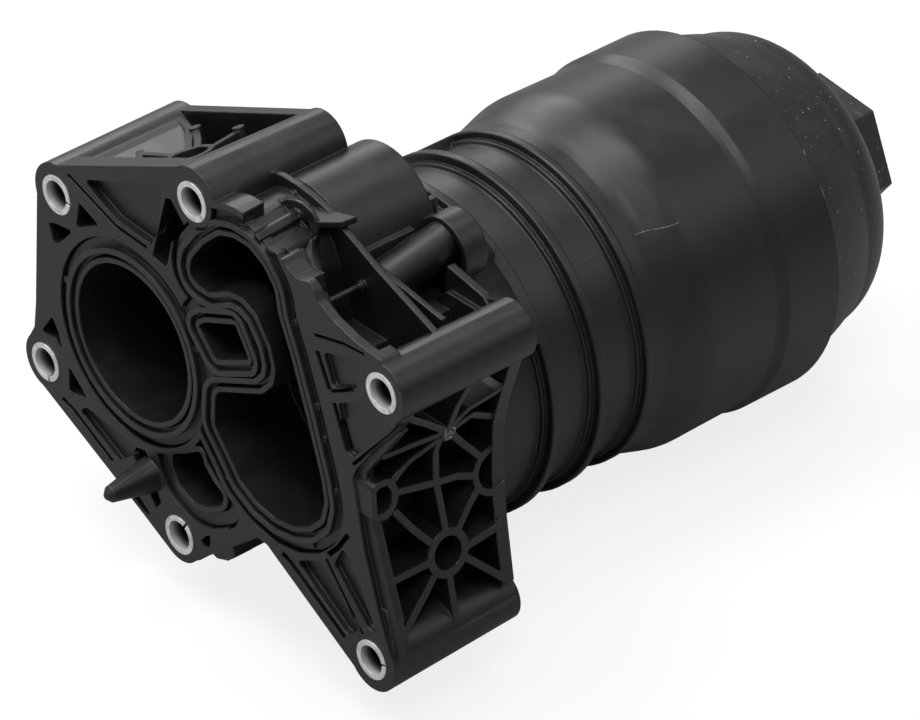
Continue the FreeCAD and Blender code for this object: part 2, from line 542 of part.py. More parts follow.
deep_ribs = [
    prism([(2.0, 66.0), (-1.0, 68.7), (-6.0, 69.8), (-12.0, 69.8), (-17.0, 69.2), (-22.0, 68.0),
           (-26.0, 65.8), (-38.0, 60.3), (-56.5, 53.2), (-56.0, 42.0), (-20.0, 42.0),
           (0.0, 50.0)], *CROSS_WALL_X),
    prism([(-24.0, 57.4), (-33.6, 55.8), (-53.0, 52.8), (-53.0, 42.0), (-24.0, 42.0)], 22.0, 23.4),
    Part.makeBox(20.0, 1.4, 12.0, V(CROSS_WALL_X[0], -27.6, 45.6)),
    Part.makeBox(6.0, 1.6, 9.0, V(40.6, -24.0, 51.0)),
    Part.makeBox(13.0, 1.6, 8.0, V(23.0, -30.8, 42.0)),
    rod(-33.4, 54.6, 0.8, FRONT_THIN - 0.5, CROSS_WALL_X[0] + 0.5),
    rod(-33.4, 54.6, 1.3, CROSS_WALL_X[0] - 1.2, CROSS_WALL_X[0] + 0.5),
    rod(-10.9, 66.9, 0.8, 12.2, CROSS_WALL_X[0] + 0.5),
    rod(-10.9, 66.9, 1.3, CROSS_WALL_X[0] - 1.2, CROSS_WALL_X[0] + 0.5),
    Part.makeBox(17.0, 1.4, 5.0, V(CROSS_WALL_X[0], -3.4, 62.0)),
]
fin_points = [V(12.2, -17.5, 66.2), V(15.8, -17.0, 66.2), V(20.4, -27.3, 66.2),
              V(16.5, -26.8, 66.2), V(12.2, -22.9, 66.2)]
fin = Part.Face(Part.makePolygon(fin_points + [fin_points[0]])).extrude(V(0, 0, 1.5))
block += deep_ribs + [fin]

# Nose over the round lobe: a notch in the land, with a rail along each side of it
nose_notch = blend([(-13.2, 72.0), (-13.3, 67.4), (-14.6, 66.8), (-19.0, 65.0), (-20.4, 64.4),
                    (-22.0, 64.0), (-26.5, 64.9), (-29.0, 72.0)], -1.0,
                   [(-12.2, 72.0), (-12.3, 67.0), (-13.6, 66.4), (-17.8, 64.9), (-19.0, 64.2),
                    (-21.0, 63.4), (-24.8, 64.2), (-27.0, 72.0)], 12.4)
nose_rails = [
    blend([(-15.6, 64.4), (-16.4, 66.9), (-17.4, 67.1), (-18.7, 66.2), (-18.8, 64.2)], 0.0,
          [(-14.4, 64.0), (-15.3, 67.1), (-16.4, 67.4), (-17.7, 66.4), (-17.8, 64.0)], 12.6),
    blend([(-20.0, 62.6), (-20.1, 64.9), (-20.9, 65.4), (-24.4, 65.3), (-25.3, 64.3),
           (-23.0, 62.0)], 0.2,
          [(-18.6, 61.6), (-18.7, 64.3), (-19.4, 64.9), (-22.4, 64.2), (-22.9, 63.2),
           (-21.0, 61.6)], 12.2),
]

# Tapered locating peg that stands out of the face
PEG = (21.6, -16.4, 4.3, 2.0, 13.0)
peg = Part.makeCone(PEG[2], PEG[3], PEG[4] - 1.2, V(FACE_WALL - 5.5, PEG[0], PEG[1]), V(-1, 0, 0))
peg_tip = Part.makeCone(PEG[3], PEG[3] * 0.45, 1.2, V(-(PEG[4] - 1.2), PEG[0], PEG[1]),
                        V(-1, 0, 0))
peg_root = rod(PEG[0], PEG[1], PEG[2], 0, FACE_WALL + 6)
small_tab = prism([(-5.4, -26.0), (-1.6, -27.2), (-1.6, -20.0), (-4.6, -19.4)], 0, 12.0)
block += [peg, peg_tip, peg_root, small_tab]

# Bowl: a turned shell with three collars, a shoulder and a band at its mouth
bowl_profile = [(BLOCK_DEPTH - 0.5, 0.0), (BLOCK_DEPTH - 0.5, BOWL_OUT_R)]
for x in COLLAR_X[:2]:
    bowl_profile += [(x - 1.6, BOWL_OUT_R), (x - 1.2, BOWL_OUT_R + COLLAR_FOOT),
                     (x, BOWL_OUT_R + COLLAR_FOOT), (x, COLLAR_R - 0.3), (x + 0.3, COLLAR_R),
                     (x + COLLAR_RIM, COLLAR_R), (x + COLLAR_RIM, BOWL_OUT_R)]
x = COLLAR_X[2]
bowl_profile += [(x - 1.6, BOWL_OUT_R), (x - 1.2, BOWL_OUT_R + COLLAR_FOOT),
                 (x, BOWL_OUT_R + COLLAR_FOOT), (x, COLLAR_R - 0.6), (x + 0.4, COLLAR_R - 0.3),
                 (x + 1.8, COLLAR_R - 0.3), (x + 2.2, COLLAR_R - 0.7),
                 (SHOULDER_X[0], COLLAR_R - 0.6), (SHOULDER_X[0] + 1.6, COLLAR_R - 0.3, "arc"),
                 (SHOULDER_X[0] + 3.4, COLLAR_R + 0.3), (SHOULDER_X[1] - 3.0, NECK_R - 0.6),
                 (SHOULDER_X[1] - 0.6, NECK_R - 0.1, "arc"), (SHOULDER_X[1] + 1.6, NECK_R),
                 (BAND_X[0], NECK_R - 0.3),
                 (BAND_X[0] + 1.2, NECK_R), (BAND_X[1], BAND_R), (MOUTH_X - 0.5, BAND_R),
                 (MOUTH_X, BAND_R - 0.5), (MOUTH_X, 0.0)]
bowl = turned(bowl_profile)
bowl_core = turned([(BLOCK_DEPTH + BOWL_FLOOR, 0.0), (BLOCK_DEPTH + BOWL_FLOOR, BOWL_IN_R),
                    (THREAD_X - 3.0, BOWL_IN_R), (THREAD_X, THREAD_MINOR_R),
                    (SEAL_BORE_X - 1.5, THREAD_MINOR_R), (SEAL_BORE_X, SEAL_BORE_R),
                    (MOUTH_X - 0.8, SEAL_BORE_R), (MOUTH_X + 1, SEAL_BORE_R + 1.0),
                    (MOUTH_X + 1, 0.0)])

# Pads that carry the block into the bowl, flush with the first collar
PAD_END = COLLAR_X[0] + COLLAR_RIM
pad_ring = tube(0, 0, COLLAR_R, BOWL_IN_R + 1.0, BLOCK_DEPTH - 1, PAD_END)
pad_zone = prism([(-8.0, 30.0), (-8.0, 50.0), (-48.0, 50.0), (-48.0, 22.0), (-30.0, 18.0)],
                 BLOCK_DEPTH - 1, PAD_END)
pad = pad_ring.common(pad_zone)
tube_web = blend([(-61.5, 46.3), (-57.0, 52.6), (-50.0, 50.8), (-42.0, 51.6), (-40.0, 44.0),
                  (-52.0, 40.0)], BLOCK_DEPTH - 1.5,
                 [(-34.6, 23.4), (-32.4, 26.6), (-28.0, 31.2), (-22.6, 35.2), (-21.0, 32.0),
                  (-31.0, 21.6)], PAD_END - 3.0)
# Socket round the end of the small duct, with a flat web down to the bowl
socket_y, socket_z, socket_r, socket_hole_r = SOCKET
socket = rod(socket_y, socket_z, socket_r, *SOCKET_X).cut(
    rod(socket_y, socket_z, socket_hole_r, SOCKET_X[0] - 1, SOCKET_X[0] + 2.6))
small_duct = rod_between(SMALL_DUCT[0], SMALL_DUCT[1], SMALL_DUCT[2])
socket_web = blend([(-25.0, 57.0), (-32.0, 59.0), (-38.0, 53.0), (-36.0, 44.0), (-20.0, 40.0)],
                   SOCKET_X[0] + 2.8,
                   [(-12.5, 40.3), (-17.0, 38.6), (-21.8, 36.0), (-22.0, 32.0), (-11.0, 36.0)],
                   COLLAR_X[0] + 0.4)
pocket_wall = prism([(-38.6, 53.4), (-49.9, 51.2), (-54.0, 48.0), (-52.0, 36.0), (-36.0, 36.0)],
                    BLOCK_DEPTH - 2.0, BLOCK_DEPTH)
length_rib = prism([(22.98, 28.97), (25.9, 32.7), (24.9, 33.5), (22.05, 29.7)],
                   COLLAR_X[1] + 1.0, COLLAR_X[2] - 0.5)
drain_boss = rod(DRAIN_YZ[0], DRAIN_YZ[1], DRAIN_R + 2.0, PORT3_DEPTH, BLOCK_DEPTH + 3)
pipe_boss = rod(0, 0, PIPE_OUT_R + 2.0, PIPE_X[0] - 8.0, BLOCK_DEPTH + BOWL_FLOOR + 4.0)

housing = fuse(block + [bowl, pad, tube_web, socket, small_duct, socket_web, pocket_wall,
                        length_rib])
front_relief = prism([(-33.2, 68.0), (-34.4, 58.4), (-37.0, 54.6), (-41.4, 51.8), (-50.6, 50.4),
                      (-53.4, 52.2), (-60.0, 62.0), (-50.0, 68.0)], FRONT_THIN, FACE_WALL + 2)
cuts = [bowl_core, nose_notch, front_relief,
        extrude_x(port1, -1, PORT1_DEPTH), extrude_x(port2, -1, PORT2_DEPTH),
        extrude_x(port3, -1, PORT3_DEPTH), extrude_x(port4, -1, PORT4_DEPTH),
        rod(DUCT[0], DUCT[1], DUCT[3], FACE_WALL + 2, DUCT_X[1] - 3.0)]
housing = housing.cut(Part.makeCompound(cuts))

# Inside passages: pipe socket, cross gallery, check valve hole and drain
to_port1 = V(0, PORT1[0], PORT1[1])
gallery_wall = Part.makeCylinder(GALLERY_R + 2.2, 13.0, V(GALLERY_X, 0, 0), to_port1)
housing = fuse([housing, pipe_boss, drain_boss, gallery_wall] + nose_rails)
gallery = Part.makeCylinder(GALLERY_R, 15.0, V(GALLERY_X, 0, 0), to_port1)
passages = [gallery, rod(0, 0, PIPE_OUT_R + 0.02, PIPE_X[0] - 0.3, 60),
            rod(0, 0, PIPE_IN_R, 24.0, 40),
            rod(CHECK_YZ[0], CHECK_YZ[1], CHECK_HOLE_R, PORT2_DEPTH - 1, 50),
            rod(DRAIN_YZ[0], DRAIN_YZ[1], DRAIN_R, PORT3_DEPTH - 2, 50),
            extrude_x(port1, -1, PORT1_DEPTH), extrude_x(port3, -1, PORT3_DEPTH)]
for y, z, r0, r1 in TUBES.values():
    passages.append(rod(y, z, SLEEVE_R + SLEEVE_CLEAR, -1, BLOCK_DEPTH + 2))
for pts in THROUGH_WINDOWS:
    passages.append(prism(pts, -1, FACE_WALL + 1.5, 0.5))
for pts in PEG_POCKETS:
    passages.append(prism(pts, -1, 3.6, 0.4).cut(rod(PEG[0], PEG[1], PEG[2], -2, 8)))
for pts, depth in PANEL_RECESSES:
    passages.append(prism(pts, -1, depth, 1.2))
for line, width, depth in FACE_SLOTS:
    passages.append(prism(strip(line, width), -1, depth))
for face in groove_faces + [groove3_face]:
    passages.append(extrude_x(face, 0, GROOVE_DEPTH))
housing = housing.cut(Part.makeCompound(passages))

# Screw thread in the bowl
female = helix_ridge(THREAD_MINOR_R, THREAD_MAJOR_R, THREAD_X + 3.0, 6.0, THREAD_PITCH,
                     2.2 + 2 * THREAD_CLEAR, 1.4 + 2 * THREAD_CLEAR, 0.6)
housing = housing.cut(female)
housing = max(housing.Solids, key=lambda s: s.Volume)

# Steel sleeves, each rolled from strip with an open seam
sleeves = []
for name, (y, z, r0, r1) in TUBES.items():
    s = tube(y, z, SLEEVE_R, SLEEVE_BORE_R, -SLEEVE_PROUD, BLOCK_DEPTH + SLEEVE_PROUD)
    slit = Part.makeBox(60, SLEEVE_R + 2, SLEEVE_SLIT, V(-5, 0, -SLEEVE_SLIT / 2))
    slit.rotate(V(0, 0, 0), V(1, 0, 0), 180 - SLIT_ANGLE[name])
    slit.translate(V(0, y, z))
    sleeves.append(s.cut(slit))

# Gasket: flat web in the groove, a sealing bead along it and small retaining nubs
web_x = (GROOVE_DEPTH - GASKET_BASE, GROOVE_DEPTH)
side = GASKET_SIDE_CLEAR
web = fuse([extrude_x(grow(p, LIP + GROOVE_W - side), *web_x) for p in sealed])
beads = []
for port in sealed:
    mid = LIP + 0.36 * GROOVE_W
    beads.append(extrude_x(grow(port, mid + BEAD_W / 2), -BEAD_PROUD, GROOVE_DEPTH - 0.5).cut(
        extrude_x(grow(port, mid - BEAD_W / 2), -2, GROOVE_DEPTH + 1)))
web3 = extrude_x(grow(port3, LIP + 4.0 - side), *web_x).cut(
    extrude_x(grow(port3, LIP + side), -2, 6)).cut(fuse(
        [extrude_x(grow(p, LIP + GROOVE_W + OUTER_LIP + side), -2, 6) for p in sealed]))
gasket = fuse([web] + beads)
for port in sealed:
    gasket = gasket.cut(extrude_x(grow(port, LIP + side), -2, 6))
gasket = gasket.fuse(web3)
gasket = fuse([gasket] + [rod(y, z, NUB_R, GROOVE_DEPTH - GASKET_BASE - 0.7, GROOVE_DEPTH)
                          for y, z in NUBS])
groove_room = Part.makeCompound([extrude_x(f, -2, GROOVE_DEPTH) for f in
                                 groove_faces + [groove3_face]])
gasket = gasket.common(groove_room)
gasket = gasket.cut(extrude_x(grow(outline(nose_keep), side), -3, 8))
gasket = gasket.cut(Part.makeCompound([rod(y, z, SLEEVE_R + SLEEVE_LAND + side, -3, 8)
                                       for y, z, r0, r1 in TUBES.values()]))
gasket_solids = [s for s in gasket.Solids if s.Volume > 40]

# Screw cap
hex_r = HEX_AF / math.sqrt(3)
outer = [(MOUTH_X + CAP_GAP, 0.0), (MOUTH_X + CAP_GAP, CAP_FLANGE_R - 0.4),
         (MOUTH_X + CAP_GAP + 0.5, CAP_FLANGE_R), CAP_SIDE_MID + ("arc",), CAP_EDGE,
         CAP_SHOULDER_MID + ("arc",), CAP_FACE, (CAP_TOP_X, hex_r), (CAP_TOP_X, 0.0)]
cap = turned(outer)
skirt = turned([(CAP_SKIRT_X, 0.0), (CAP_SKIRT_X, CAP_CORE_R - 0.8),
                (CAP_SKIRT_X + 0.8, CAP_CORE_R), (SEAL_BORE_X - 0.6, CAP_CORE_R),
                (SEAL_BORE_X + 1.2, SEAL_BORE_R - 0.3), (MOUTH_X + 0.2, SEAL_BORE_R - 0.3),
                (MOUTH_X + 0.2, 0.0)])
hexagon = [(hex_r * math.cos(math.radians(60 * i + HEX_TURN)),
            hex_r * math.sin(math.radians(60 * i + HEX_TURN))) for i in range(6)]
cap = fuse([cap, skirt, prism(hexagon, CAP_TOP_X - 3, HEX_TOP_X, 0.6)])
room = [(CAP_SKIRT_X - 1, 0.0), (CAP_SKIRT_X - 1, CAP_BORE_R), (CAP_EDGE[0] - 1.0, CAP_BORE_R),
        (CAP_SHOULDER_MID[0] - 2.0, CAP_SHOULDER_MID[1] - CAP_WALL + 0.6),
        (CAP_FACE[0] - CAP_WALL, CAP_FACE[1] - 1.5), (CAP_TOP_X - CAP_WALL - 0.6, 16.0),
        (CAP_TOP_X - CAP_WALL - 0.6, 0.0)]
cap = cap.cut(turned(room))
cap = cap.cut(rod(0, 0, hex_r - 5.5, CAP_TOP_X - 6, HEX_TOP_X - CAP_WALL))
cap = cap.cut(turned([(RING_X - 1.75, RING_OUT_R - 2 * RING_SECTION_R - 0.04),
                      (RING_X - 1.75, 45.0), (RING_X + 1.75, 45.0),
                      (RING_X + 1.75, RING_OUT_R - 2 * RING_SECTION_R - 0.04)]))
male = helix_ridge(CAP_CORE_R, CAP_CREST_R, THREAD_X + 3.0 + THREAD_PITCH * 2,
                   THREAD_TURNS, THREAD_PITCH, 2.2, 1.4, 0.5)
# Ring inside the cap with a lip that the element's clips hook over
clip_ring = fuse([tube(0, 0, CLIP_R + 3.2, CLIP_R + 1.3, CLIP_X, CAP_TOP_X - 3.0),
                  tube(0, 0, CLIP_R + 3.2, CLIP_R, CLIP_X, CLIP_X + 1.3)])
cap_ribs = []
for i in range(CAP_RIB_COUNT):
    b = Part.makeBox(CAP_TOP_X - 1.5 - CAP_EDGE[0], 8.0, 1.8, V(CAP_EDGE[0], 27.0, -0.9))
    b.rotate(V(0, 0, 0), V(1, 0, 0), 360.0 * i / (CAP_RIB_COUNT) + 30)
    cap_ribs.append(b)
envelope = turned([(CAP_EDGE[0] - 1, 0.0), (CAP_EDGE[0] - 1, CAP_EDGE[1] - 1.5),
                   (CAP_SHOULDER_MID[0] - 1.2, CAP_SHOULDER_MID[1] - 1.2),
                   (CAP_FACE[0] - 1.2, CAP_FACE[1] - 1.0), (CAP_FACE[0] - 1.2, 0.0)])
cap = fuse([cap, male, clip_ring] + [b.common(envelope) for b in cap_ribs])
cap = max(cap.Solids, key=lambda s: s.Volume)

cap_ring = Part.makeTorus(RING_OUT_R - RING_SECTION_R, RING_SECTION_R, V(RING_X, 0, 0), V(1, 0, 0))

# Standpipe with its windows
pipe = tube(0, 0, PIPE_OUT_R, PIPE_IN_R, PIPE_X[0], PIPE_X[1])
windows = []
for i, x in enumerate((ELEMENT_X[0] + 10.0, ELEMENT_X[0] + 26.0, ELEMENT_X[0] + 42.0)):
    for k in range(3):
        w = Part.makeBox(11.0, 5.0, 14.0, V(x, -2.5, 0))
        w.rotate(V(0, 0, 0), V(1, 0, 0), 120 * k + 60 * (i % 2))
        windows.append(w)
pipe = pipe.cut(Part.makeCompound(windows))
seat = turned([(BYPASS_X - 2.0, BYPASS_SEAT_R), (BYPASS_X - 2.0, PIPE_IN_R),
               (BYPASS_X, PIPE_IN_R), (BYPASS_X, BYPASS_SEAT_R + 0.5)])
pipe = fuse([pipe, seat])
pipe_groove_x, pipe_ring_r = PIPE_X[0] + 5.0, 0.6
pipe = pipe.cut(tube(0, 0, PIPE_OUT_R + 1, PIPE_OUT_R - 2 * pipe_ring_r - 0.03,
                     pipe_groove_x - 0.75, pipe_groove_x + 0.75))
pipe_ring = Part.makeTorus(PIPE_OUT_R - pipe_ring_r, pipe_ring_r, V(pipe_groove_x, 0, 0),
                           V(1, 0, 0))

# Bypass valve: a disc with a guided stem, its spring and the guide that closes the pipe
disc_x = BYPASS_X + 0.05
bypass_disc = fuse([rod(0, 0, BYPASS_DISC_R, disc_x, disc_x + 1.4),
                    rod(0, 0, 1.2, disc_x + 1.0, disc_x + 8.5)])
guide = fuse([tube(0, 0, PIPE_IN_R - 0.01, 1.2 + RUN, PIPE_X[1] - 2.5, PIPE_X[1]),
              tube(0, 0, 2.2, 1.2 + RUN, disc_x + 1.4 + BYPASS_TRAVEL + 0.3,
                   PIPE_X[1] - 1.0)])
for k in range(3):
    a = math.radians(120 * k)
    guide = guide.cut(rod(4.4 * math.cos(a), 4.4 * math.sin(a), 1.3, PIPE_X[1] - 4, PIPE_X[1] + 1))
bypass_spring = spring(0, 0, disc_x + 1.45, PIPE_X[1] - 2.55, 2.9, 0.45, 3)

# Check valve: rubber faced disc, spring and the cage clipped to the bowl's floor
cy, cz = CHECK_YZ
floor_x = BLOCK_DEPTH + BOWL_FLOOR
disc_top = floor_x + 2.4
check_seal = tube(cy, cz, CHECK_DISC_R, CHECK_HOLE_R - 1.2, floor_x + 0.05, floor_x + 0.98)
check_disc = fuse([rod(cy, cz, CHECK_DISC_R, floor_x + 1.0, disc_top),
                   rod(cy, cz, 1.3, floor_x + 1.2, disc_top + 6.8)])
cage_top = disc_top + CHECK_TRAVEL + 4.0
cage = [tube(cy, cz, 11.4, 9.2, floor_x, floor_x + 1.4),
        tube(cy, cz, 4.2, 1.3 + RUN, cage_top - 3.0, cage_top)]
for k in range(3):
    leg = Part.makeBox(9.5, 2.4, 2.2, V(floor_x, -1.2, 9.2))
    arm = Part.makeBox(1.8, 2.4, 8.6, V(cage_top - 1.8, -1.2, 2.8))
    leg = fuse([leg, arm])
    leg.rotate(V(0, 0, 0), V(1, 0, 0), 120 * k + 40)
    leg.translate(V(0, cy, cz))
    cage.append(leg)
check_cage = fuse(cage)
check_spring = spring(cy, cz, disc_top + 0.05, cage_top - 3.05, 2.9, 0.45, 3)

# Filter element
x0, x1 = ELEMENT_X
core = tube(0, 0, ELEMENT_CORE_R, ELEMENT_CORE_R - CORE_WALL, x0, x1)
holes = []
for row in range(7):
    for k in range(4):
        a = math.radians(45 * k + 22.5 * (row % 2))
        h = Part.makeCylinder(2.6, 40, V(x0 + 8 + row * 11.0, 0, 0) - V(0, 20 * math.cos(a),
                              20 * math.sin(a)), V(0, math.cos(a), math.sin(a)))
        holes.append(h)
core = core.cut(Part.makeCompound(holes))
pleats_out = []
for i in range(PLEATS):
    a0, da = 2 * math.pi * i / PLEATS, 2 * math.pi / PLEATS
    pleats_out += [(ELEMENT_CORE_R + 2.2, a0), (ELEMENT_R, a0 + da / 2)]
pleats_in = []
for i in range(PLEATS):
    a0, da = 2 * math.pi * i / PLEATS, 2 * math.pi / PLEATS
    pleats_in += [(ELEMENT_CORE_R + 0.2, a0), (ELEMENT_R - 4.4, a0 + da / 2)]
media = prism([(r * math.cos(a), r * math.sin(a)) for r, a in pleats_out], x0, x1).cut(
    prism([(r * math.cos(a), r * math.sin(a)) for r, a in pleats_in], x0 - 1, x1 + 1))
cap_front = tube(0, 0, END_CAP_R, PIPE_OUT_R + 1.2, x0 - END_CAP_T, x0)
plug_r = DRAIN_R - 0.4
cap_front = cap_front.cut(rod(DRAIN_YZ[0], DRAIN_YZ[1], plug_r + 0.02, x0 - 5, x0 + 1))
drain_plug = fuse([rod(DRAIN_YZ[0], DRAIN_YZ[1], plug_r, PORT3_DEPTH + 8.0, x0 - 0.02),
                   rod(DRAIN_YZ[0], DRAIN_YZ[1], plug_r + 1.2, x0 - END_CAP_T - 1.4,
                       x0 - END_CAP_T - 0.02)])
drain_ring_x, drain_ring_r = BLOCK_DEPTH - 1.0, 0.5
drain_plug = drain_plug.cut(tube(DRAIN_YZ[0], DRAIN_YZ[1], DRAIN_R + 1,
                                 DRAIN_R - 0.08 - 2 * drain_ring_r - 0.03,
                                 drain_ring_x - 0.65, drain_ring_x + 0.65))
drain_ring = Part.makeTorus(DRAIN_R - 0.08 - drain_ring_r, drain_ring_r,
                            V(drain_ring_x, DRAIN_YZ[0], DRAIN_YZ[1]), V(1, 0, 0))
pipe_seal = tube(0, 0, PIPE_OUT_R + 1.18, PIPE_OUT_R + 0.05, x0 - END_CAP_T - 0.6, x0 + 0.6)
cap_back = rod(0, 0, END_CAP_R, x1, x1 + END_CAP_T)
clips = []
for k in range(4):
    leg = Part.makeBox(CLIP_X + 2.4 - x1, 3.6, 1.6, V(x1 + 1.0, -1.8, CLIP_R - 1.9))
    hook = Part.makeBox(1.8, 3.6, 1.6, V(CLIP_X + 1.6, -1.8, CLIP_R - 0.9))
    c = fuse([leg, hook])
    c.rotate(V(0, 0, 0), V(1, 0, 0), 90 * k + 45)
    clips.append(c)
cap_back = fuse([cap_back] + clips)

NODES = {
    "housing": housing,
    "bolt_sleeves": Part.makeCompound(sleeves),
    "flange_gasket": Part.makeCompound(gasket_solids),
    "screw_cap": cap,
    "cap_ring": cap_ring,
    "standpipe": pipe,
    "bypass_disc": bypass_disc,
    "bypass_spring": bypass_spring,
    "bypass_guide": guide,
    "check_disc": check_disc,
    "check_seal": check_seal,
    "check_spring": check_spring,
    "check_cage": check_cage,
    "filter_core": core,
    "filter_media": media,
    "front_end_cap": cap_front,
    "back_end_cap": cap_back,
    "pipe_seal": pipe_seal,
    "drain_plug": drain_plug,
    "drain_ring": drain_ring,
    "pipe_ring": pipe_ring,
}
for name, shape in NODES.items():
    shape.exportStep("parts/%s.step" % name)
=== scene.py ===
import json
import math

import bpy
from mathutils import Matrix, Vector


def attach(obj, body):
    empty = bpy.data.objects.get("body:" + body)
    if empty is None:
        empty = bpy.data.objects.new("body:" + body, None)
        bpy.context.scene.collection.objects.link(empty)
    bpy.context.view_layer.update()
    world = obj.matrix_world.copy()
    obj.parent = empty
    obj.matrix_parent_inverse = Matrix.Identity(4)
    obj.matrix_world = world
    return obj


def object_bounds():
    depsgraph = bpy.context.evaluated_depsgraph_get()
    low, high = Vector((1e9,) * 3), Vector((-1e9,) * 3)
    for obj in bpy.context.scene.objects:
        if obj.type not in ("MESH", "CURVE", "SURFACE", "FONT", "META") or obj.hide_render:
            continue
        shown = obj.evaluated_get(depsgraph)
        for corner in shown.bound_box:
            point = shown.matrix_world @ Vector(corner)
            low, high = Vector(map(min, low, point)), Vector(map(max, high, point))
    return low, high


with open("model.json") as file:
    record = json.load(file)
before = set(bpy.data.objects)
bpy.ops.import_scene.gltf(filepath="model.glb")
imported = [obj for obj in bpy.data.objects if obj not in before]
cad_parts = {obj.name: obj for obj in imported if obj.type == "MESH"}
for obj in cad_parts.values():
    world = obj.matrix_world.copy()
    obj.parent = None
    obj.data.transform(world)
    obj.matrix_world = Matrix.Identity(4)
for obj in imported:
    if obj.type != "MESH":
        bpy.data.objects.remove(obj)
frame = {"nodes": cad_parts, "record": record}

cad_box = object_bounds()


# Shader expressions: a wrapped socket adds Math nodes as it is used in arithmetic
class Term:
    def __init__(self, shop, socket):
        self.shop, self.socket = shop, socket

    def op(self, operation, *others):
        return self.shop.node("ShaderNodeMath", {"operation": operation},
                              {i: v for i, v in enumerate((self,) + others)})

    def __add__(self, other):
        return self.op("ADD", other)

    def __radd__(self, other):
        return self.op("ADD", other)

    def __sub__(self, other):
        return self.op("SUBTRACT", other)

    def __rsub__(self, other):
        return self.shop.node("ShaderNodeMath", {"operation": "SUBTRACT"}, {0: other, 1: self})

    def __mul__(self, other):
        return self.op("MULTIPLY", other)

    def clamp(self):
        return self.shop.node("ShaderNodeClamp", {}, {"Value": self})

    def ramp(self, low, high, to_low=0.0, to_high=1.0):
        """A smooth step from to_low to to_high while the value goes from low to high."""
        return self.shop.node("ShaderNodeMapRange", {"interpolation_type": "SMOOTHSTEP"},
                              {"Value": self, "From Min": low, "From Max": high,
                               "To Min": to_low, "To Max": to_high})


BEVEL_SAMPLES = 6


class Finish:
    """One material and the few calls that build its nodes."""

    def __init__(self, name):
        self.material = bpy.data.materials.new(name)
        self.material.use_nodes = True
        self.tree = self.material.node_tree
        self.tree.nodes.clear()
        self.out = self.tree.nodes.new("ShaderNodeOutputMaterial")
        self.place = self.node("ShaderNodeTexCoord", {}, {}, "Object")

    def node(self, kind, settings, inputs, output=0):
        n = self.tree.nodes.new(kind)
        for key, value in settings.items():
            setattr(n, key, value)
        for key, value in inputs.items():
            if isinstance(value, Term):
                self.tree.links.new(value.socket, n.inputs[key])
            else:
                n.inputs[key].default_value = value
        return Term(self, n.outputs[output])

    def stretched(self, scale, turn=(0, 0, 0)):
        """The place in the piece, scaled unevenly so that a noise read there runs in streaks."""
        return self.node("ShaderNodeMapping", {}, {"Vector": self.place, "Scale": scale,
                                                   "Rotation": turn})

    def noise(self, scale, detail=3.0, rough=0.55, where=None):
        return self.node("ShaderNodeTexNoise", {}, {"Vector": where or self.place, "Scale": scale,
                                                    "Detail": detail, "Roughness": rough})

    def cells(self, scale):
        return self.node("ShaderNodeTexVoronoi", {}, {"Vector": self.place, "Scale": scale},
                         "Distance")

    def tint(self, amount, first, second):
        return self.node("ShaderNodeMix", {"data_type": "RGBA"},
                         {0: amount, 6: first, 7: second}, 2)

    def bump(self, height, strength, distance, under=None):
        inputs = {"Height": height, "Strength": strength, "Distance": distance}
        if under is not None:
            inputs["Normal"] = under
        return self.node("ShaderNodeBump", {}, inputs)

    def soft_normal(self, radius):
        """Normals rounded over the edges."""
        return self.node("ShaderNodeBevel", {"samples": BEVEL_SAMPLES}, {"Radius": radius})

    def soft_edges(self, radius):
        """Normals rounded over the edges, and a mask that grows along them."""
        rounded = self.soft_normal(radius)
        flat = self.node("ShaderNodeNewGeometry", {}, {}, "Normal")
        same = self.node("ShaderNodeVectorMath", {"operation": "DOT_PRODUCT"},
                         {0: rounded, 1: flat}, "Value")
        return rounded, 1.0 - same

    def upward(self):
        """How much the surface faces up, from -1 to 1."""
        facing = self.node("ShaderNodeTexCoord", {}, {}, "Normal")
        return self.node("ShaderNodeSeparateXYZ", {}, {"Vector": facing}, "Z")

    def surface(self, **inputs):
        names = {key.replace("_", " ").title(): value for key, value in inputs.items()}
        shader = self.node("ShaderNodeBsdfPrincipled", {}, names)
        self.tree.links.new(shader.socket, self.out.inputs["Surface"])
        return self.material


def grey(v, warm=0.0):
    """A grey of brightness v, with a share of red added and of blue taken away."""
    return (v * (1 + warm), v, v * (1 - warm), 1.0)


def moulded_plastic():
    """Black moulding: fine grain, a thin film of dust on top, and edges paler: partly rubbed
    wear, partly a painted highlight.
    """
    m = Finish("moulded_plastic")
    rounded, edge = m.soft_edges(0.0006)
    grain = m.noise(1500, 2.0)
    flow = m.noise(1.0, 4.0, 0.6, m.stretched((22, 60, 60)))
    patch = m.noise(34, 4.0)
    film = m.noise(120, 5.0, 0.62)
    dust = (m.upward().ramp(0.25, 0.95) * film.ramp(0.46, 0.74)).clamp() * 0.04
    edge_wear_and_highlight = (edge * 2.2).clamp() * m.noise(420, 3.0).ramp(0.4, 0.65)
    base = m.tint(patch.ramp(0.3, 0.7), grey(0.0055), grey(0.0080))
    # Edges tinted paler: partly wear, partly a painted highlight along the rims.
    base = m.tint(edge_wear_and_highlight * 0.45, base, grey(0.07))
    base = m.tint(dust, base, grey(0.16, 0.02))
    rough = 0.37 + flow * 0.04 + film.ramp(0.35, 0.7) * 0.03 + dust * 1.2 - edge_wear_and_highlight * 0.06
    height = grain * 0.5 + flow * 0.08
    return m.surface(base_color=base, roughness=rough.clamp(),
                     normal=m.bump(height, 0.22, 0.00012, rounded))


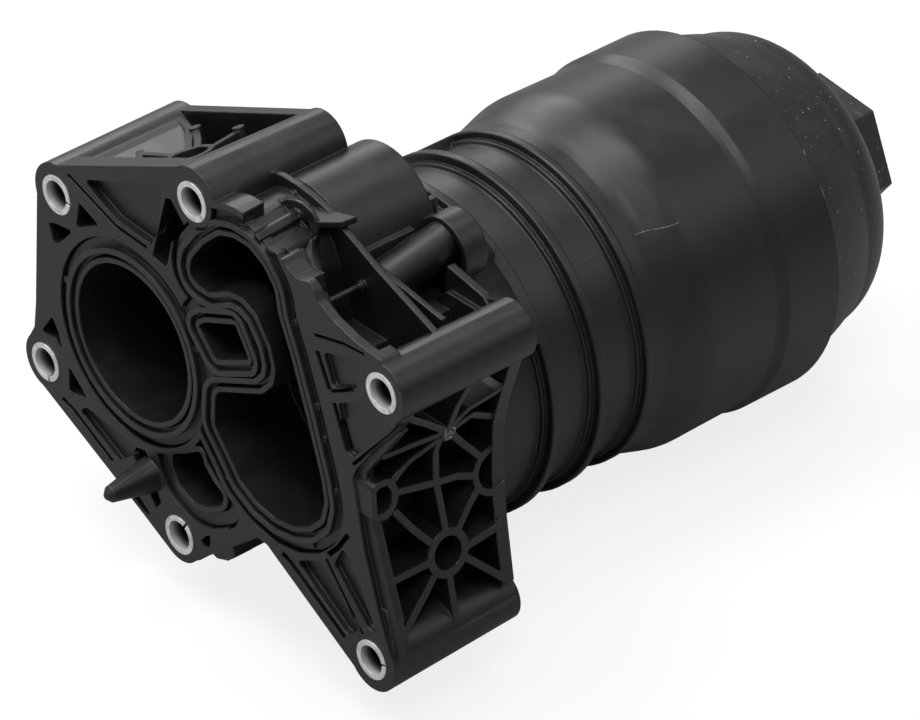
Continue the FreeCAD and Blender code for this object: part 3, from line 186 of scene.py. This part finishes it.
def cap_plastic():
    """The cap's duller black, scratched round and across and clouded with dust."""
    m = Finish("cap_plastic")
    rounded, edge = m.soft_edges(0.0007)
    grain = m.noise(1200, 2.0)
    fine = m.noise(1.0, 5.0, 0.7, m.stretched((260, 34, 34), (0, 0, 0.12)))
    cross = m.noise(1.0, 4.0, 0.7, m.stretched((40, 300, 60), (0.3, 0.2, 0.4)))
    film = m.noise(70, 6.0, 0.66)
    scratch = (fine.ramp(0.66, 0.74) + cross.ramp(0.68, 0.76)).clamp()
    speck = m.noise(1000, 2.0).ramp(0.64, 0.72) * m.noise(160, 3.0).ramp(0.45, 0.6)
    dust = film.ramp(0.40, 0.72) * 0.050 + scratch * 0.08 + speck * 0.2
    # Paler along the edges: a painted highlight.
    base = m.tint((edge * 2.0).clamp() * 0.4, grey(0.0165), grey(0.05))
    base = m.tint(dust, base, grey(0.20, 0.015))
    rough = 0.42 + film.ramp(0.35, 0.7) * 0.08 + scratch * 0.12
    return m.surface(base_color=base, roughness=rough.clamp(),
                     normal=m.bump(grain + scratch * 0.6, 0.2, 0.0001, rounded))


def inner_plastic():
    """Dark grey plastic of the pipe, the valves and the element's plates."""
    m = Finish("inner_plastic")
    rounded = m.soft_normal(0.0003)
    patch = m.noise(90, 4.0)
    base = m.tint(patch.ramp(0.3, 0.7), grey(0.03), grey(0.045))
    return m.surface(base_color=base, roughness=(0.42 + patch * 0.12).clamp(),
                     normal=m.bump(m.noise(1300, 2.0), 0.2, 0.0001, rounded))


def gasket_rubber():
    """Black rubber with a soft waviness, paler along its edges: partly worn grey, partly a
    painted highlight.
    """
    m = Finish("gasket_rubber")
    rounded, edge = m.soft_edges(0.00045)
    wave = m.noise(210, 3.0)
    skin = m.noise(1500, 2.0)
    base = m.tint(wave.ramp(0.35, 0.7), grey(0.008), grey(0.015))
    # Paler edges: partly wear, partly a painted highlight.
    base = m.tint((edge * 2.5).clamp() * 0.5, base, grey(0.045))
    return m.surface(base_color=base, roughness=(0.34 + wave * 0.14 + skin * 0.06).clamp(),
                     normal=m.bump(wave + skin * 0.08, 0.5, 0.0005, rounded))


def sleeve_steel():
    """Rolled steel with stains: bright at both ends of a sleeve, and painted darker down its
    bore, a painted shade inside the hole.
    """
    m = Finish("sleeve_steel")
    rounded = m.soft_normal(0.0002)
    drawn = m.noise(1.0, 4.0, 0.6, m.stretched((60, 1400, 1400)))
    stain = m.noise(340, 4.0, 0.6)
    depth = m.node("ShaderNodeSeparateXYZ", {}, {"Vector": m.place}, "X")
    past_front = depth.ramp(0.0003, 0.0035)
    before_back = depth.ramp(0.0345, 0.0382, 1.0, 0.0)
    # Painted shade down the bore: darker and more metallic away from both ends.
    bore_shade = past_front * before_back
    base = m.tint(stain.ramp(0.40, 0.72), grey(0.88), grey(0.62, 0.02))
    base = m.tint(bore_shade, base, grey(0.12))
    return m.surface(base_color=base, metallic=0.55 + bore_shade * 0.4,
                     roughness=(0.26 + drawn * 0.14 + stain.ramp(0.45, 0.75) * 0.14).clamp(),
                     normal=m.bump(drawn + stain * 0.6, 0.25, 0.00008, rounded))


def spring_steel():
    """Drawn spring wire."""
    m = Finish("spring_steel")
    drawn = m.noise(1.0, 3.0, 0.6, m.stretched((900, 300, 300)))
    base = m.tint(drawn.ramp(0.35, 0.7), grey(0.34), grey(0.5))
    return m.surface(base_color=base, metallic=1.0, roughness=(0.28 + drawn * 0.12).clamp(),
                     normal=m.bump(drawn, 0.2, 0.00005))


def filter_paper():
    """Pale yellow filter paper with a fibrous face."""
    m = Finish("filter_paper")
    fibre = m.noise(1.0, 5.0, 0.65, m.stretched((500, 1400, 1400)))
    cloud = m.noise(60, 4.0)
    base = m.tint(cloud.ramp(0.3, 0.7), (0.55, 0.44, 0.24, 1), (0.68, 0.57, 0.34, 1))
    base = m.tint(fibre.ramp(0.5, 0.75) * 0.35, base, (0.42, 0.32, 0.17, 1))
    return m.surface(base_color=base, roughness=(0.82 + fibre * 0.1).clamp(),
                     normal=m.bump(fibre, 0.35, 0.00012))


def flash_plastic():
    """Thin flash along the mould's parting line, polished pale by handling."""
    m = Finish("flash_plastic")
    wear = m.noise(900, 3.0, 0.6)
    base = m.tint(wear.ramp(0.35, 0.65), grey(0.03), grey(0.16))
    return m.surface(base_color=base, roughness=(0.34 + wear * 0.15).clamp(),
                     normal=m.bump(wear, 0.3, 0.00005))


def torn_plastic():
    """The sprue's stub, broken off: whitened and rough."""
    m = Finish("torn_plastic")
    tear = m.noise(1900, 5.0, 0.7)
    pits = m.cells(1500)
    base = m.tint(tear.ramp(0.42, 0.62), grey(0.015), grey(0.30))
    return m.surface(base_color=base, roughness=(0.45 + tear * 0.2).clamp(),
                     normal=m.bump(tear + pits * 0.6, 0.8, 0.0003))


def dust_bits():
    """Pale grey bits of dust."""
    m = Finish("dust_bits")
    tone = m.noise(700, 2.0)
    base = m.tint(tone.ramp(0.35, 0.65), grey(0.16, 0.02), grey(0.55, 0.02))
    return m.surface(base_color=base, roughness=(0.6 + tone * 0.2).clamp(),
                     normal=m.bump(tone, 0.2, 0.00003))


FINISHES = {"moulded_plastic": moulded_plastic(), "cap_plastic": cap_plastic(),
            "inner_plastic": inner_plastic(), "gasket_rubber": gasket_rubber(),
            "sleeve_steel": sleeve_steel(), "spring_steel": spring_steel(),
            "filter_paper": filter_paper()}

for entry in frame["record"]["subparts"]:
    for slot in frame["nodes"][entry["node"]].material_slots:
        slot.material = FINISHES[entry["material_slot"]]


# Fine traces of moulding and use: flash, seams, nicks, the sprue's stub and dust
class Grower:
    """A Geometry Nodes tree with named inputs, turned into a plain mesh at once."""

    def __init__(self, name, inputs):
        self.tree = bpy.data.node_groups.new(name, "GeometryNodeTree")
        face = self.tree.interface
        face.new_socket("Geometry", in_out="OUTPUT", socket_type="NodeSocketGeometry")
        self.keys = {"Geometry": face.new_socket("Geometry", in_out="INPUT",
                                                 socket_type="NodeSocketGeometry").identifier}
        for label in inputs:
            self.keys[label] = face.new_socket(label, in_out="INPUT",
                                               socket_type="NodeSocketFloat").identifier
        self.values = inputs
        self.given = self.tree.nodes.new("NodeGroupInput")

    def asked(self, label):
        """The tree's own input of that name."""
        return self.given.outputs[label]

    def node(self, kind, settings, inputs, output=0):
        n = self.tree.nodes.new(kind)
        for key, value in settings.items():
            setattr(n, key, value)
        for key, value in inputs.items():
            if isinstance(value, bpy.types.NodeSocket):
                self.tree.links.new(value, n.inputs[key])
            else:
                n.inputs[key].default_value = value
        return n.outputs[output]

    def finish(self, geometry, material, obj):
        """Close the tree, run it on the object and keep the result as its plain mesh."""
        real = self.node("GeometryNodeRealizeInstances", {}, {"Geometry": geometry})
        dressed = self.node("GeometryNodeSetMaterial", {}, {"Geometry": real,
                                                            "Material": material})
        out = self.tree.nodes.new("NodeGroupOutput")
        self.tree.links.new(dressed, out.inputs["Geometry"])
        modifier = obj.modifiers.new("grow", "NODES")
        modifier.node_group = self.tree
        for label, value in self.values.items():
            modifier[self.keys[label]] = value
        seen = obj.evaluated_get(bpy.context.evaluated_depsgraph_get())
        plain = bpy.data.meshes.new_from_object(seen)
        obj.modifiers.clear()
        obj.data = plain


def new_object(name, vertices, edges, faces):
    mesh = bpy.data.meshes.new(name)
    mesh.from_pydata([Vector(v) for v in vertices], edges, faces)
    obj = bpy.data.objects.new(name, mesh)
    bpy.context.scene.collection.objects.link(obj)
    return obj


def touch(node, start, way):
    """The first point of a node that a straight line meets."""
    hit, place = frame["nodes"][node].ray_cast(Vector(start), Vector(way))[:2]
    return place if hit else None


OUTSIDE = 0.2             # further from the axis than any point of the part


def on_barrel(node, x, degrees):
    """Point of the barrel at x, seen from outside at an angle about its axis."""
    a = math.radians(degrees)
    out = Vector((0.0, math.cos(a), math.sin(a)))
    return touch(node, Vector((x, 0, 0)) + out * OUTSIDE, -out)


def ridge_line(name, path, thickness, material):
    """A fine ridge that follows (x, angle) points over the surface of the housing's barrel."""
    places = [p for p in (on_barrel("housing", x, angle) for x, angle in path) if p is not None]
    obj = new_object(name, places, [(i, i + 1) for i in range(len(places) - 1)], [])
    g = Grower(name, {"Thickness": thickness})
    line = g.node("GeometryNodeMeshToCurve", {}, {"Mesh": g.asked("Geometry")})
    section = g.node("GeometryNodeCurvePrimitiveCircle", {},
                     {"Resolution": RIDGE_SIDES, "Radius": g.asked("Thickness")})
    ridge = g.node("GeometryNodeCurveToMesh", {}, {"Curve": line, "Profile Curve": section,
                                                   "Fill Caps": True})
    g.finish(ridge, material, obj)
    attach(obj, "housing_body")


RIDGE_SIDES = 6
SEAM_ANGLE = 136.0        # where the mould's parting line runs along the barrel
SHOULDER = (0.1015, 0.1118)
SEAMS = [(0.0865, 0.0940), (0.1318, 0.1340)]
MOUTH_NICKS = [(0.1521, 146.0, 152.5), (0.1521, 171.0, 173.0), (0.1519, 134.5, 137.0)]
FLASH_THICK, SEAM_THICK, NICK_THICK = 0.00015, 0.00004, 0.00011
STEPS = [i / 23 for i in range(24)]


def between(first, last, share):
    return first + (last - first) * share


flash = flash_plastic()
ridge_line("shoulder_flash", [(between(*SHOULDER, t),
                               SEAM_ANGLE + 0.6 + 1.3 * math.sin(3.1 * t - 1.4)) for t in STEPS],
           FLASH_THICK, flash)
for number, (first, last) in enumerate(SEAMS, 1):
    ridge_line("seam_%d" % number, [(between(first, last, t),
                                     SEAM_ANGLE + 0.2 * math.sin(9 * t)) for t in STEPS],
               SEAM_THICK, FINISHES["moulded_plastic"])
for number, (x, first, last) in enumerate(MOUTH_NICKS, 1):
    ridge_line("mouth_nick_%d" % number, [(x + 0.0002 * math.sin(7 * t),
                                           between(first, last, t)) for t in STEPS],
               NICK_THICK, flash)


def sprue_stub(x, z, radius, height):
    """Broken stub on the hub of the side ribs: a ragged rim round a pit."""
    place = touch("housing", (x, -OUTSIDE, z), (0, 1, 0))
    around = 28
    rings = [(1.0, -0.0002), (0.86, 0.8), (0.62, 1.0), (0.40, 0.35), (0.0, 0.25)]
    vertices, faces = [], []
    for share, lift in rings:
        for k in range(around):
            a = 2 * math.pi * k / around
            ragged = 1 + 0.16 * math.sin(3 * a + 1) + 0.10 * math.sin(7 * a + share * 5)
            rise = height * lift * (1 + 0.45 * math.sin(5 * a + 2) * share)
            vertices.append((place.x + radius * share * ragged * math.cos(a), place.y - rise,
                             place.z + radius * share * ragged * math.sin(a)))
    for ring in range(len(rings) - 1):
        for k in range(around):
            a, b = ring * around + k, ring * around + (k + 1) % around
            faces.append((a, b, b + around, a + around))
    obj = new_object("sprue_stub", vertices, [], faces)
    obj.data.materials.append(torn_plastic())
    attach(obj, "housing_body")


sprue_stub(x=0.0214, z=0.0252, radius=0.0019, height=0.00045)


CAP_FIRST_X = 0.1545          # the cap shows from here on
CAP_CENTRE = (0.14, 0, 0)     # outer faces of the cap look away from this point
LEAST_OUTWARD = 0.004         # and lie at least so far from it along their normal
SCATTER_SEED, SPIN_SEED, STRETCH_SEED = 7, 3, 11
FULL_TURN = 6.283


def dust_on_cap(material):
    """Small pale bits scattered over the outside of the cap."""
    flake = new_object("flake", [(-0.5, 0, 0), (-0.2, 0.3, 0), (0.35, 0.22, 0), (0.5, -0.1, 0),
                                 (0.05, -0.3, 0), (0, 0, 0.12)], [],
                       [(5, 1, 0), (5, 2, 1), (5, 3, 2), (5, 4, 3), (5, 0, 4),
                        (0, 1, 2, 3, 4)])
    obj = bpy.data.objects.new("cap_dust", frame["nodes"]["screw_cap"].data.copy())
    bpy.context.scene.collection.objects.link(obj)
    g = Grower("cap_dust", {"Density": 48000.0, "First X": CAP_FIRST_X, "Size": 0.00042})
    place = g.node("GeometryNodeInputPosition", {}, {})
    normal = g.node("GeometryNodeInputNormal", {}, {})
    x = g.node("ShaderNodeSeparateXYZ", {}, {"Vector": place})
    from_core = g.node("ShaderNodeVectorMath", {"operation": "SUBTRACT"},
                       {0: place, 1: CAP_CENTRE})
    outward = g.node("ShaderNodeVectorMath", {"operation": "DOT_PRODUCT"},
                     {0: from_core, 1: normal}, "Value")
    beyond = g.node("FunctionNodeCompare", {"operation": "GREATER_THAN"},
                    {0: x, 1: g.asked("First X")})
    outer = g.node("FunctionNodeCompare", {"operation": "GREATER_THAN"},
                   {0: outward, 1: LEAST_OUTWARD})
    both = g.node("FunctionNodeBooleanMath", {"operation": "AND"}, {0: beyond, 1: outer})
    scatter = g.tree.nodes.new("GeometryNodeDistributePointsOnFaces")
    g.tree.links.new(g.asked("Geometry"), scatter.inputs["Mesh"])
    g.tree.links.new(both, scatter.inputs["Selection"])
    g.tree.links.new(g.asked("Density"), scatter.inputs["Density"])
    scatter.inputs["Seed"].default_value = SCATTER_SEED
    spin = g.node("FunctionNodeRandomValue", {"data_type": "FLOAT_VECTOR"},
                  {0: (0, 0, 0), 1: (0, 0, FULL_TURN), "Seed": SPIN_SEED}, 0)
    turned = g.node("FunctionNodeRotateEuler", {"rotation_type": "EULER", "space": "LOCAL"},
                    {0: scatter.outputs["Rotation"], 1: spin})
    stretch = g.node("FunctionNodeRandomValue", {"data_type": "FLOAT_VECTOR"},
                     {0: (0.4, 0.2, 0.3), 1: (2.4, 0.7, 0.5), "Seed": STRETCH_SEED}, 0)
    scale = g.node("ShaderNodeVectorMath", {"operation": "SCALE"},
                   {0: stretch, "Scale": g.asked("Size")})
    bit = g.node("GeometryNodeObjectInfo", {}, {"Object": flake}, "Geometry")
    spread = g.node("GeometryNodeInstanceOnPoints", {}, {"Points": scatter.outputs["Points"],
                                                         "Instance": bit, "Rotation": turned,
                                                         "Scale": scale})
    g.finish(spread, material, obj)
    bpy.data.objects.remove(flake)
    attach(obj, "cap")


dust_on_cap(dust_bits())


# Studio: a pale floor, soft lamps and a white surround
FLOOR_HALF = 6.0
FLOOR_GAP = 0.0003        # the floor lies this far under the part
GLOW = 0.82               # share of plain white in the floor as the camera sees it


def pale_floor():
    """Near white to the camera, and dimmer in what it reflects onto the part."""
    m = Finish("pale_floor")
    seen = m.node("ShaderNodeLightPath", {}, {}, "Is Camera Ray")
    cloth = m.node("ShaderNodeBsdfDiffuse", {}, {"Color": grey(0.86)})
    dim = m.node("ShaderNodeBsdfDiffuse", {}, {"Color": grey(0.32)})
    white = m.node("ShaderNodeEmission", {}, {"Color": grey(1.0), "Strength": 1.0})
    table = m.node("ShaderNodeMixShader", {}, {0: seen, 1: dim, 2: cloth})
    mixed = m.node("ShaderNodeMixShader", {}, {0: seen * GLOW, 1: table, 2: white})
    m.tree.links.new(mixed.socket, m.out.inputs["Surface"])
    return m.material


floor_z = cad_box[0][2] - FLOOR_GAP
corners = [(x * FLOOR_HALF, y * FLOOR_HALF, floor_z)
           for x, y in ((-1, -1), (1, -1), (1, 1), (-1, 1))]
floor = new_object("floor", corners, [], [(0, 1, 2, 3)])
floor.data.materials.append(pale_floor())

MIDDLE = Vector((0.08, 0.0, 0.0))      # the lamps look at this point of the part
LAMPS = [("key", (-0.6, 0.5, 1.5), (1.0, 0.8), 16.0),
         ("top", (0.3, 0.3, 1.7), (1.4, 0.6), 14.0),
         ("back", (0.5, 1.6, 0.9), (1.6, 0.7), 16.0),
         ("fill", (-0.5, -0.8, 1.7), (0.8, 0.8), 15.0),
         ("side", (0.95, -0.9, 1.05), (0.8, 0.8), 2.4),
         ("front", (-1.6, -0.5, 0.5), (0.8, 0.8), 1.0)]
for name, place, (wide, tall), power in LAMPS:
    light = bpy.data.lights.new(name, "AREA")
    light.shape, light.size, light.size_y, light.energy = "RECTANGLE", wide, tall, power
    lamp = bpy.data.objects.new(name, light)
    lamp.location = place
    lamp.rotation_euler = (MIDDLE - Vector(place)).to_track_quat("-Z", "Y").to_euler()
    bpy.context.scene.collection.objects.link(lamp)

SKY_STRENGTH = 0.22
world = bpy.data.worlds.new("studio")
bpy.context.scene.world = world
world.use_nodes = True
nodes, links = world.node_tree.nodes, world.node_tree.links
nodes.clear()
sky = nodes.new("ShaderNodeBackground")
sky.inputs["Color"].default_value = grey(0.9)
sky.inputs["Strength"].default_value = SKY_STRENGTH
white = nodes.new("ShaderNodeBackground")
white.inputs["Color"].default_value = grey(1.0)
path = nodes.new("ShaderNodeLightPath")
both = nodes.new("ShaderNodeMixShader")
links.new(path.outputs["Is Camera Ray"], both.inputs[0])
links.new(sky.outputs[0], both.inputs[1])
links.new(white.outputs[0], both.inputs[2])
end = nodes.new("ShaderNodeOutputWorld")
links.new(both.outputs[0], end.inputs["Surface"])

# Camera at the photograph's viewing angle
CAMERA_PLACE = (-0.7796, -0.9574, 0.8549)
CAMERA_WAY = (0.5525, 0.6192, -0.5579)
camera = bpy.data.cameras.new("camera")
camera.sensor_width, camera.lens = 36.0, 263.2
camera.clip_start, camera.clip_end = 0.05, 50.0
view = bpy.data.objects.new("camera", camera)
view.location = CAMERA_PLACE
view.rotation_euler = Vector(CAMERA_WAY).to_track_quat("-Z", "Y").to_euler()
bpy.context.scene.collection.objects.link(view)
bpy.context.scene.camera = view
bpy.context.scene.view_settings.view_transform = "Standard"
